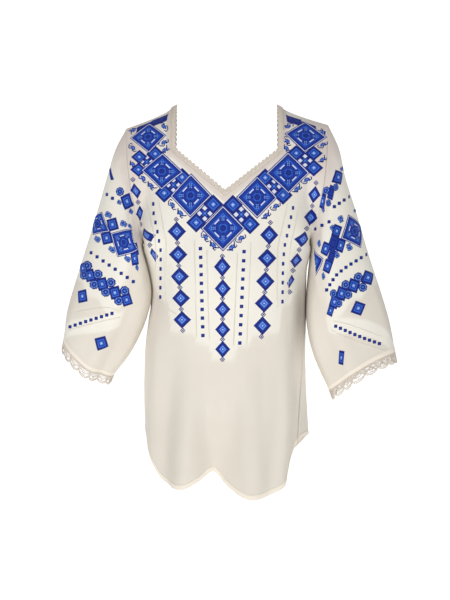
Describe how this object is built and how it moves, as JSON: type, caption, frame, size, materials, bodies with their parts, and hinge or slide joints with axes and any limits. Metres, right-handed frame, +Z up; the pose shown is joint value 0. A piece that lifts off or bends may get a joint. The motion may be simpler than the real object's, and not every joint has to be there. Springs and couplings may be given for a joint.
{
  "type": "embroidered peasant blouse",
  "caption": "Pull-on blouse with a pentagonal neck, wide three-quarter sleeves with scalloped lace cuffs, cross-stitched diamond bands and a shirt-tail hem, open at neck, cuffs and hem.",
  "frame": {"origin": "midway between the two neck points of the shoulder seams, where the shoulders carry the blouse", "axes": "+Z up from hem to neck, +X to the wearer's left, the front faces -Y"},
  "size_m": [0.6177, 0.2379, 0.7037],
  "materials": {
    "cloth": "smooth light plain-weave cloth, slightly sheer",
    "lace": "crocheted cotton lace"
  },
  "bodies": {
    "root": {"front": "cloth", "back": "cloth", "sleeve_left": "cloth", "sleeve_right": "cloth", "neck_lace_front": "lace", "neck_lace_back": "lace", "cuff_lace_left_front": "lace", "cuff_lace_left_back": "lace", "cuff_lace_right_front": "lace", "cuff_lace_right_back": "lace"}
  },
  "joints": []
}
